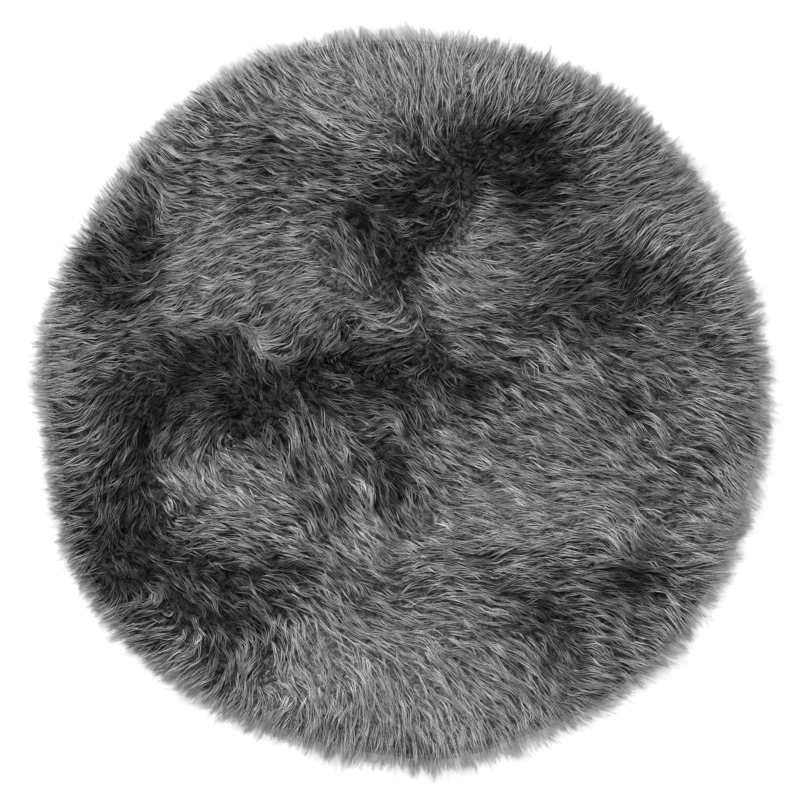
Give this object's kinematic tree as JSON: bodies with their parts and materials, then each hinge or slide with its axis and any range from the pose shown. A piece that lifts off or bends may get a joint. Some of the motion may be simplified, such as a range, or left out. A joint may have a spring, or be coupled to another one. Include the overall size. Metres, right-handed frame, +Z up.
{
  "type": "round shag rug",
  "caption": "Round rug of long combed wool on a flat hide, with loose locks round its rim, for a floor or over a seat.",
  "frame": {"origin": "middle of the flat underside", "axes": "+Z up out of the pile, +Y towards the top edge of the rug as seen from above, +X to the right"},
  "size_m": [0.903, 0.9093, 0.0389],
  "materials": {
    "long_wool": "dyed long wool in fine combed locks, soft and slightly glossy, over a pale suede hide"
  },
  "bodies": {
    "root": {"fleece": "long_wool"}
  },
  "joints": []
}
